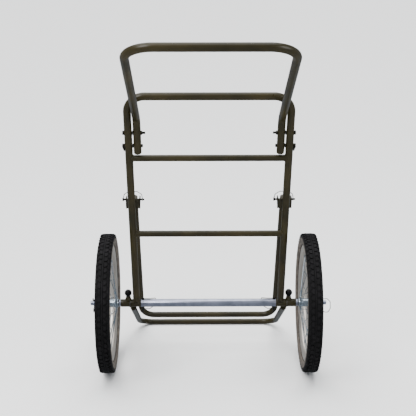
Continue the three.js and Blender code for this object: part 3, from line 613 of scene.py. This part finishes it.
for side, sign in SIDES.items():
    upper = on_rail(0, BOLT_UPPER)
    lower = on_rail(0, BOLT_LOWER)
    shank = drawn("shank", [
        on_rail(sign * PIVOT_SHANK_IN, BOLT_UPPER), on_rail(sign * RAIL_FACE, BOLT_UPPER)], PIVOT_SHANK)
    washer = turned("bolt_washer", [
        (sign * WASHER_START, 0), (sign * WASHER_START, HEAD_RADIUS), (sign * WASHER_END, HEAD_RADIUS),
        (sign * WASHER_END, 0)], upper, ACROSS, bevel=0.3 * MM)
    head = hexagon("head", sign * HEAD_START, sign * HEAD_END, HEAD_RADIUS, upper)
    finished(joined(f"pivot_bolt_{side}", [shank, washer, head]), "frame", black_oxide,
             [f"bolt_upper_{side}"])

    nut = hexagon("nut", sign * CAP_FACE, sign * LEG_FACE, HEX_13, upper)
    dome = [(sign * CAP_FACE, CAP_ROUND)]
    for step in range(9):
        turn = math.radians(10 * step + 10)
        dome.append((sign * (CAP_FACE - CAP_DEPTH * math.sin(turn)), CAP_ROUND * math.cos(turn)))
    cap = turned("cap", dome, upper, ACROSS, steps=40)
    finished(joined(f"cap_nut_{side}", [nut, cap]), "frame", black_oxide,
             [f"nut_upper_{side}"])

    shank = drawn("shank", [
        on_rail(sign * LOCK_SHANK_IN, BOLT_LOWER), on_rail(sign * RAIL_FACE, BOLT_LOWER)], LOCK_SHANK)
    wing_face = [on_rail(sign * (RAIL_FACE + 0.3 * MM + x * MM), BOLT_LOWER + up * MM, -WING_DEPTH)
                 for x, up in WING]
    wing = extruded("wing", wing_face, RAIL_BACK * WING_WIDTH, 1.1 * MM, 3)
    finished(joined(f"lock_bolt_{side}", [shank, wing]), "frame", black_oxide,
             [f"bolt_lower_{side}"])

    nut = hexagon("nut", sign * (LEG_FACE - 5 * MM), sign * LEG_FACE, HEX_10, lower)
    stub = drawn("stub", [
        on_rail(sign * (LEG_FACE - 2 * MM), BOLT_LOWER), on_rail(sign * LOCK_STUB_OUT, BOLT_LOWER)],
        LOCK_SHANK)
    finished(joined(f"lock_nut_{side}", [nut, stub]), "handle", black_oxide,
             [f"nut_lower_{side}"])

    for label, up, bore in (("upper", BOLT_UPPER, 4.2 * MM), ("lower", BOLT_LOWER, 3.2 * MM)):
        inner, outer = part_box(f"spacer_{label}_{side}")
        ring = turned(f"gap_washer_{label}_{side}", [
            (inner.x, bore), (inner.x, 7 * MM), (outer.x, 7 * MM), (outer.x, bore), (inner.x, bore)],
            on_rail(0, up), ACROSS, bevel=0.3 * MM)
        finished(ring, "frame", nylon_moulded, [f"spacer_{label}_{side}"])

# ---- Spring plungers and ball knobs ----
# A plated pin, pushed down by a coil spring in the boss, drops into the stub axle. Its knob is a moulded
# black ball with a flat under it, pulled up by hand to free the wheel.
PIN_RADIUS, PIN_COLLAR = 3.4 * MM, 5.2 * MM
PIN_TIP, PIN_TOP = 6.8 * MM, 35.5 * MM
KNOB_FLAT = 27.6 * MM
COIL_RADIUS, COIL_WIRE = 4.6 * MM, 0.45 * MM
# where the coil starts above the axle, and its length, in millimetres
COIL_FOOT, COIL_HEIGHT = 16.8, 7.8
COIL_TURNS = 3.5
COIL_STEPS = 112

# Phenolic: hard, black and polished, with a clear highlight and faint hairline marks.
phenolic_ball, phenolic = new_material("polished_phenolic")
phenolic_place = add_node(phenolic_ball, "ShaderNodeTexCoord").outputs["Object"]
phenolic_haze = add_node(phenolic_ball, "ShaderNodeTexNoise", {
    "Vector": phenolic_place, "Scale": 240.0, "Detail": 5.0})
phenolic_gloss = add_node(phenolic_ball, "ShaderNodeMapRange", {
    "Value": phenolic_haze.outputs["Fac"], "To Min": 0.18, "To Max": 0.34})
connect(phenolic_ball, phenolic_gloss.outputs["Result"], phenolic["Roughness"])
phenolic["Base Color"].default_value = linear("#070708")
phenolic["Specular IOR Level"].default_value = 0.2

# Hard-drawn spring wire, blacked all over: the film hides the steel, so it isn't shaded as a metal.
spring_wire, wire = new_material("spring_wire")
wire_place = add_node(spring_wire, "ShaderNodeTexCoord").outputs["Object"]
wire_haze = add_node(spring_wire, "ShaderNodeTexNoise", {"Vector": wire_place, "Scale": 300.0, "Detail": 3.0})
wire_gloss = add_node(spring_wire, "ShaderNodeMapRange", {
    "Value": wire_haze.outputs["Fac"], "To Min": 0.22, "To Max": 0.4})
connect(spring_wire, wire_gloss.outputs["Result"], wire["Roughness"])
wire["Base Color"].default_value = linear("#060606")

for side, sign in SIDES.items():
    foot = AXLE + ACROSS * sign * KNOB_X
    pin = turned(f"plunger_pin_{side}", [
        (PIN_TIP, 0), (PIN_TIP, 2.6 * MM), (7.8 * MM, PIN_RADIUS), (14.9 * MM, PIN_RADIUS),
        (14.9 * MM, PIN_COLLAR), (16.1 * MM, PIN_COLLAR), (16.1 * MM, PIN_RADIUS), (PIN_TOP, PIN_RADIUS),
        (PIN_TOP, 0)], foot, (0, 0, 1))
    finished(pin, f"plunger_{side}", zinc_plate, [f"plunger_{side}"])

    ball_profile = [(KNOB_FLAT, 3.6 * MM)]
    for step in range(29):
        turn = math.radians(-67 + 157 * step / 28)
        ball_profile.append((KNOB_UP + KNOB_BALL * math.sin(turn), KNOB_BALL * math.cos(turn)))
    ball_profile += [(KNOB_UP + KNOB_BALL, 0)]
    ball = turned(f"ball_knob_{side}", ball_profile, foot, (0, 0, 1), steps=56)
    finished(ball, f"plunger_{side}", phenolic_ball, [f"knob_{side}"], angle=50)

    coil = []
    for step in range(COIL_STEPS + 1):
        turn = 2 * math.pi * COIL_TURNS * step / COIL_STEPS
        rise = (COIL_FOOT + COIL_HEIGHT * step / COIL_STEPS) * MM
        coil.append(foot + Vector((COIL_RADIUS * math.cos(turn), COIL_RADIUS * math.sin(turn), rise)))
    spring = drawn(f"plunger_coil_{side}", coil, COIL_WIRE, smoothness=2)
    finished(spring, "frame", spring_wire, [f"plunger_spring_{side}"])
    # the pin's collar comes up nearly to the ceiling of the boss, so the coil has to close almost flat
    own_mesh(spring)

# ---- Wire lock pins ----
# Turned pins with a thicker head. A bent spring wire is hinged in each head and snaps over the tube to
# the tip, so that the pin can't shake out.
WIRE = 1.25 * MM
EYE_BEND = 2 * MM
AXLE_PIN_X = 240.3 * MM
HUB_PIN_X = 417 * MM


def clip(name, corners, bend, body, node_name):
    """A wire clip bent through its corners, with a tight first bend at its eye."""
    halfway = corners[1].lerp(corners[2], 0.5)
    wire_path = rounded(corners[:3], EYE_BEND, 8)[:-1] + rounded([halfway, *corners[2:]], bend, 10)
    finished(drawn(name, wire_path, WIRE, smoothness=3), body, spring_wire, [node_name],
             angle=60)


def turned_pin(name, centre, along, head, shank, radius, head_radius, tip, node_name):
    """A pin from its chamfered head to its tapered tip; the wire's eye passes through the head."""
    head_start, head_end = head
    profile = [(head_start, 0), (head_start, head_radius - 0.7 * MM), (head_start + 0.7 * MM, head_radius),
               (head_end - 0.5 * MM, head_radius), (head_end, head_radius - 0.5 * MM), (head_end, radius),
               (shank, radius), (tip, radius * 0.62), (tip, 0)]
    pin = turned(name, profile, centre, along, steps=40)
    finished(pin, "frame", black_oxide, [node_name])


for side, sign in SIDES.items():
    x = sign * BRACKET_X
    centre = on_rail(x, PIN_UP, PIN_BACK)
    turned_pin(f"support_lock_pin_{side}", centre, ACROSS, (-37.4 * MM, -31.6 * MM), 35.5 * MM, 3.2 * MM,
               5.4 * MM, 38 * MM, f"support_pin_{side}")

    def spot(dx, up, back):
        return on_rail(x + dx * MM, PIN_UP + up * MM, PIN_BACK + back * MM)

    clip(f"support_clip_{side}", [spot(-34.5, 0, -8), spot(-34.5, 0, 8), spot(-31, 16, 7.4), spot(-16, 28, 7),
                                  spot(14, 28, 7), spot(29, 16, 7), spot(31, 0, 5.6), spot(31, -9, 5)],
         9 * MM, f"support_bail_{side}", f"support_bail_{side}")

    turned_pin(f"axle_lock_pin_{side}", AXLE + ACROSS * sign * AXLE_PIN_X, (0, 0, -1),
               (-19.8 * MM, -14.8 * MM), 35.5 * MM, 3.1 * MM, 5 * MM, 38 * MM, f"axle_pin_{side}")

    def inboard(dx, y, z):
        return AXLE + Vector((sign * (AXLE_PIN_X - dx * MM), y * MM, z * MM))

    clip(f"axle_clip_{side}", [inboard(-7.2, 0, 17.2), inboard(26, 0, 17.4), inboard(46, 14, 13.5),
                               inboard(47, 21, -2), inboard(42, 18, -18), inboard(24, 6, -25.6),
                               inboard(6, 5.4, -25.6), inboard(-8, 5.4, -25.6)],
         8 * MM, f"axle_bail_{side}", f"axle_bail_{side}")

    turned_pin(f"hub_lock_pin_{side}", AXLE + ACROSS * sign * HUB_PIN_X, (0, 0, -1), (-12.9 * MM, -8.3 * MM),
               24.5 * MM, 2.8 * MM, 4.4 * MM, 26.5 * MM, f"hub_pin_{side}")

    def hanging(out, across, z):
        turned_out = (sign * HUB_PIN_X + out * MM, across * MM, z * MM)
        turned_back = (sign * HUB_PIN_X - across * MM, out * MM, z * MM)
        return AXLE + Vector(turned_out if sign > 0 else turned_back)

    clip(f"hub_clip_{side}", [hanging(0, -6, 10.6), hanging(0, 6.6, 10.6), hanging(18, 6.6, 12),
                              hanging(30, 6, 0), hanging(31, 5.5, -26), hanging(24, 5.2, -41),
                              hanging(10, 5, -41),
                              hanging(0, 4.8, -30), hanging(-3, 4.8, -20)],
         7 * MM, f"hub_bail_{side}", f"hub_bail_{side}")

# ---- Hubs, bushes and washers ----
# Each hub is a bright shell with a flange at either end, turning on a nylon bush. Plated washers
# take the side load against the collar and the lock pin.
HUB_HALF = 37.5 * MM
FLANGE = 29 * MM
RIM_SEAT = 192 * MM
BUSH_BORE, BUSH_OUTER, BUSH_LIP = 8.15 * MM, 11 * MM, 14 * MM
BUSH_START, BUSH_STEP, BUSH_END = -40 * MM, 37.8 * MM, 40.6 * MM

# Chrome plate on steel pressings: mirror-like, a little hazed by fine dust.
chrome_plate, chrome = new_material("chrome_plate")
chrome_place = add_node(chrome_plate, "ShaderNodeTexCoord").outputs["Object"]
chrome_haze = add_node(chrome_plate, "ShaderNodeTexNoise", {
    "Vector": chrome_place, "Scale": 60.0, "Detail": 6.0})
chrome_gloss = add_node(chrome_plate, "ShaderNodeMapRange", {
    "Value": chrome_haze.outputs["Fac"], "To Min": 0.1, "To Max": 0.32})
connect(chrome_plate, chrome_gloss.outputs["Result"], chrome["Roughness"])
chrome["Base Color"].default_value = linear("#a9b4bd")
chrome["Metallic"].default_value = 1.0

WHEEL_X = {side: (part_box(f"tyre_{side}")[0].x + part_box(f"tyre_{side}")[1].x) / 2 for side in SIDES}
hubs = {}
for side, sign in SIDES.items():
    centre = Vector((WHEEL_X[side], AXLE.y, AXLE.z))
    half_shell = [
        (0, 15 * MM), (20 * MM, 15.4 * MM), (26 * MM, 16.8 * MM), (28 * MM, 20 * MM), (28.2 * MM, 28.3 * MM),
        (28.9 * MM, FLANGE), (30.6 * MM, FLANGE), (31.2 * MM, 28.3 * MM), (31.4 * MM, 18.6 * MM),
        (33 * MM, 16 * MM), (36.6 * MM, 15.2 * MM), (HUB_HALF, 14.4 * MM), (HUB_HALF, 11.3 * MM)]
    shell = [(-along, radius) for along, radius in reversed(half_shell[1:])] + half_shell
    hubs[side] = turned("hub_shell", [*shell, shell[0]], centre, ACROSS, steps=72)

    bush = turned(f"hub_bushing_{side}", [
        (BUSH_START * sign, BUSH_BORE), (BUSH_START * sign, BUSH_OUTER), (BUSH_STEP * sign, BUSH_OUTER),
        (BUSH_STEP * sign, BUSH_LIP), (BUSH_END * sign, BUSH_LIP), (BUSH_END * sign, BUSH_BORE),
        (BUSH_START * sign, BUSH_BORE)], centre, ACROSS, bevel=0.4 * MM)
    finished(bush, f"wheel_{side}", nylon_moulded, [f"bush_{side}"])
    for label in ("inner", "outer"):
        low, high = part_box(f"washer_{label}_{side}")
        bore = SPINDLE + 0.3 * MM
        disc = turned(f"thrust_washer_{label}_{side}", [
            (low.x, bore), (low.x, 13 * MM), (high.x, 13 * MM), (high.x, bore), (low.x, bore)],
            Vector((0, AXLE.y, AXLE.z)), ACROSS, bevel=0.4 * MM)
        finished(disc, "frame", zinc_plate, [f"washer_{label}_{side}"])

# ---- Spokes ----
# Thirty-six plated steel spokes a wheel, laced from alternate flanges so that they cross, with an elbow
# at the flange and a plated nipple at the rim.
SPOKES = 36
SPOKE = 1.0 * MM
SPOKE_CIRCLE = 25.5 * MM
SPOKE_SWEEP = math.radians(62)
# the flange's middle plane, in millimetres from the middle of the hub
FLANGE_MIDDLE = 29.8
NIPPLE, NIPPLE_LENGTH = 1.9 * MM, 15 * MM

for side in SIDES:
    centre = Vector((WHEEL_X[side], AXLE.y, AXLE.z))

    def around(x, radius, turn):
        return centre + Vector((x, radius * math.cos(turn), radius * math.sin(turn)))

    parts = [hubs[side]]
    for index in range(SPOKES):
        rim_turn = 2 * math.pi * (index + 0.5) / SPOKES
        flange = -1 if index % 2 == 0 else 1
        lead = 1 if (index // 2) % 2 == 0 else -1
        hub_turn = rim_turn + lead * SPOKE_SWEEP
        face = flange * (FLANGE_MIDDLE + 2.0 * lead) * MM
        elbow = around(face, SPOKE_CIRCLE, hub_turn)
        head = around(flange * (FLANGE_MIDDLE - 2.4 * lead) * MM, SPOKE_CIRCLE, hub_turn)
        rim_end = around(flange * 2.5 * MM, RIM_SEAT + 3 * MM, rim_turn)
        parts.append(drawn("spoke", rounded([head, elbow, rim_end], 2 * MM, 4), SPOKE, smoothness=1))
        nipple_foot = rim_end + (elbow - rim_end).normalized() * NIPPLE_LENGTH
        parts.append(drawn("nipple", [nipple_foot, rim_end], NIPPLE, smoothness=1))
    finished(joined(f"spoked_hub_{side}", parts), f"wheel_{side}", chrome_plate,
             [f"hub_{side}"])

# ---- Rims ----
# Roll-formed steel rims, with a well in the middle and a hooked edge each side.
# They are chrome plated, and not polished as the hubs are.

# Satin chrome plate: warmer and softer than the hubs' plate, a pale band instead of a bright one.
rim_chrome, rim_finish = new_material("satin_rim_chrome")
rim_place = add_node(rim_chrome, "ShaderNodeTexCoord").outputs["Object"]
rim_haze = add_node(rim_chrome, "ShaderNodeTexNoise", {"Vector": rim_place, "Scale": 45.0, "Detail": 5.0})
rim_gloss = add_node(rim_chrome, "ShaderNodeMapRange", {
    "Value": rim_haze.outputs["Fac"], "To Min": 0.3, "To Max": 0.5})
connect(rim_chrome, rim_gloss.outputs["Result"], rim_finish["Roughness"])
rim_finish["Base Color"].default_value = linear("#ddd6cc")
rim_finish["Metallic"].default_value = 0.9

for side in SIDES:
    centre = Vector((WHEEL_X[side], AXLE.y, AXLE.z))
    outer_half = [(0, RIM_SEAT), (7 * MM, 192.6 * MM), (12 * MM, 195.6 * MM), (15.6 * MM, 200 * MM),
                  (17.4 * MM, 204 * MM), (17.5 * MM, 211.4 * MM), (17.0 * MM, 212.5 * MM),
                  (16.0 * MM, 212.5 * MM),
                  (15.5 * MM, 211.6 * MM), (15.4 * MM, 205.6 * MM)]
    inner_half = [(11 * MM, 200 * MM), (6 * MM, 197 * MM), (0, 196.2 * MM)]
    half = outer_half + inner_half
    ring = half[::-1] + [(-along, radius) for along, radius in half[1:-1]]
    rim = turned(f"rolled_rim_{side}", [*ring, ring[0]], centre, ACROSS, steps=144)
    finished(rim, f"wheel_{side}", rim_chrome, [f"rim_{side}"], angle=40)

# ---- Tyres ----
# Solid black rubber tyres. The tread has a centre rib with rows of half-moon lugs either side, offset
# from each other, and a serrated shoulder; the sidewalls carry two moulded rings.
TREAD_LUGS = 70
# each block's distance from the middle of the tread, and its lift off the carcass, in millimetres
LUG_ACROSS, LUG_LIFT = 5.0, 1.7
TOOTH_ACROSS, TOOTH_LIFT = 20.0, 1.5

# Vulcanised rubber: near black and matte, a little greyer in patches, with a fine mould texture.
rubber_moulded, rubber = new_material("vulcanised_rubber")
rubber_place = add_node(rubber_moulded, "ShaderNodeTexCoord").outputs["Object"]
rubber_dust = add_node(rubber_moulded, "ShaderNodeTexNoise", {
    "Vector": rubber_place, "Scale": 38.0, "Detail": 6.0})
rubber_tone = add_node(rubber_moulded, "ShaderNodeValToRGB", {"Fac": rubber_dust.outputs["Fac"]})
rubber_tone.color_ramp.elements[0].position = 0.4
rubber_tone.color_ramp.elements[0].color = linear("#0a090a")
rubber_tone.color_ramp.elements[1].position = 0.8
rubber_tone.color_ramp.elements[1].color = linear("#171517")
rubber_grain = add_node(rubber_moulded, "ShaderNodeTexNoise", {
    "Vector": rubber_place, "Scale": 700.0, "Detail": 3.0})
rubber_bump = add_node(rubber_moulded, "ShaderNodeBump", {
    "Height": rubber_grain.outputs["Fac"], "Strength": 0.3, "Distance": 0.0004})
connect(rubber_moulded, rubber_tone.outputs["Color"], rubber["Base Color"])
connect(rubber_moulded, rubber_bump.outputs["Normal"], rubber["Normal"])
rubber["Roughness"].default_value = 0.75
rubber["Specular IOR Level"].default_value = 0.2

# half the carcass, in millimetres across and out: nearly flat, with a centre rib that stands proud
CARCASS = [
    (0, 253.7), (2.2, 253.6), (2.8, 250.2), (18, 249.6), (22, 248.4), (24.6, 245.6), (25.7, 241),
    (25.9, 236), (25.5, 231), (25.4, 228), (24.9, 227.6), (24.9, 226.6), (25.2, 226), (24.2, 221.5),
    (22.0, 217), (19.0, 213.6), (17.8, 213.1), (15.0, 213.1), (14.9, 206.2), (0, 206.2)]


def carcass_at(across):
    """Radius and slope of the carcass at a distance from its middle, in millimetres."""
    for (x0, r0), (x1, r1) in zip(CARCASS, CARCASS[1:]):
        if x0 <= across <= x1:
            return r0 + (r1 - r0) * (across - x0) / (x1 - x0), math.atan2(r0 - r1, x1 - x0)
    return CARCASS[0][1], 0


def lug_blank(name, sides, width, length, height, half_moon):
    """One tread block, lying flat: X across the tread, Y along it, Z out of it."""
    deselect()
    bpy.ops.mesh.primitive_cylinder_add(vertices=sides, radius=0.5, depth=1, location=(0, 0, 0))
    blank = bpy.context.object
    blank.name = name
    bpy.ops.object.mode_set(mode="EDIT")
    bpy.ops.mesh.select_all(action="SELECT")
    if half_moon:
        bpy.ops.mesh.bisect(plane_co=(-0.05, 0, 0), plane_no=(1, 0, 0), use_fill=True, clear_inner=True)
        bpy.ops.mesh.select_all(action="SELECT")
    bpy.ops.transform.resize(value=(width * MM, length * MM, height * MM), center_override=(0, 0, 0))
    bpy.ops.object.mode_set(mode="OBJECT")
    rounded_edges(blank, 0.5 * MM, 1)
    return blank


half_moon = lug_blank("half_moon", sides=14, width=22, length=18.5, height=4.2, half_moon=True)
shoulder_tooth = lug_blank("shoulder_tooth", sides=4, width=10, length=13, height=4.4, half_moon=False)


def on_tread(blank, centre, across, turn, lift, flip):
    """A copy of a tread block with its middle lifted a little off the carcass."""
    radius, slope = carcass_at(abs(across))
    copy = blank.copy()
    copy.data = blank.data.copy()
    bpy.context.collection.objects.link(copy)
    tilt = Matrix.Rotation(slope * (1 if across > 0 else -1), 4, "Y")
    place = Matrix.Translation(Vector((across * MM, 0, (radius + lift) * MM)))
    face_out = Matrix.Rotation(math.pi if flip else 0, 4, "Z")
    spin = Matrix.Rotation(turn, 4, "X")
    copy.data.transform(Matrix.Translation(centre) @ spin @ place @ tilt @ face_out)
    return copy


for side in SIDES:
    centre = Vector((WHEEL_X[side], AXLE.y, AXLE.z))
    half = [(along * MM, radius * MM) for along, radius in CARCASS]
    ring = half + [(-along, radius) for along, radius in half[-2:0:-1]]
    parts = [turned("carcass", [*ring, ring[0]], centre, ACROSS, steps=160)]
    for index in range(TREAD_LUGS):
        turn = 2 * math.pi * index / TREAD_LUGS
        offset = math.pi / TREAD_LUGS
        parts.append(on_tread(half_moon, centre, LUG_ACROSS, turn, LUG_LIFT, False))
        parts.append(on_tread(half_moon, centre, -LUG_ACROSS, turn + offset, LUG_LIFT, True))
        parts.append(on_tread(shoulder_tooth, centre, TOOTH_ACROSS, turn + offset, TOOTH_LIFT, False))
        parts.append(on_tread(shoulder_tooth, centre, -TOOTH_ACROSS, turn, TOOTH_LIFT, False))
    finished(joined(f"treaded_tyre_{side}", parts), f"wheel_{side}", rubber_moulded,
             [f"tyre_{side}"])

for blank in (half_moon, shoulder_tooth):
    bpy.data.objects.remove(blank)

# ---- Sidewalls with painted reflection ----
# A thin pale veneer over each side of the carcass, from the hooked edge of the rim to just under the
# shoulder, is a painted reflection of the studio glancing off black rubber, with dust. It turns with the
# wheel.

# the veneer's section, in millimetres across and out
VENEER = [
    (25.6, 240), (26.0, 236), (25.8, 231), (25.9, 229), (25.3, 228.4), (25.3, 227), (25.8, 226.4),
    (24.9, 221.3), (22.6, 216.6), (19.6, 213.6), (18.4, 213.4), (19.0, 215), (22.0, 219), (24.0, 226),
    (24.4, 236), (25.6, 240)]

# Grey-beige, matte and cloudy: painted reflection of the studio glancing off black rubber, with settled dust.
sidewall_reflection_paint, sidewall = new_material("sidewall_painted_reflection")
sidewall_place = add_node(sidewall_reflection_paint, "ShaderNodeTexCoord").outputs["Object"]
sidewall_dust = add_node(sidewall_reflection_paint, "ShaderNodeTexNoise", {
    "Vector": sidewall_place, "Scale": 55.0, "Detail": 6.0})
sidewall_reflection_tone = add_node(sidewall_reflection_paint, "ShaderNodeValToRGB", {"Fac": sidewall_dust.outputs["Fac"]})
sidewall_reflection_tone.color_ramp.elements[0].position = 0.3
sidewall_reflection_tone.color_ramp.elements[0].color = linear("#4a433d")
sidewall_reflection_tone.color_ramp.elements[1].position = 0.75
sidewall_reflection_tone.color_ramp.elements[1].color = linear("#6e655c")
connect(sidewall_reflection_paint, sidewall_reflection_tone.outputs["Color"], sidewall["Base Color"])
sidewall["Roughness"].default_value = 0.65

# the veneers carry the painted reflection over the black sidewalls
for side in SIDES:
    centre = Vector((WHEEL_X[side], AXLE.y, AXLE.z))
    veneers = [turned("veneer", [(face * along * MM, radius * MM) for along, radius in VENEER],
                      centre, ACROSS, steps=144) for face in (-1, 1)]
    finished(joined(f"sidewall_{side}", veneers), f"wheel_{side}", sidewall_reflection_paint)
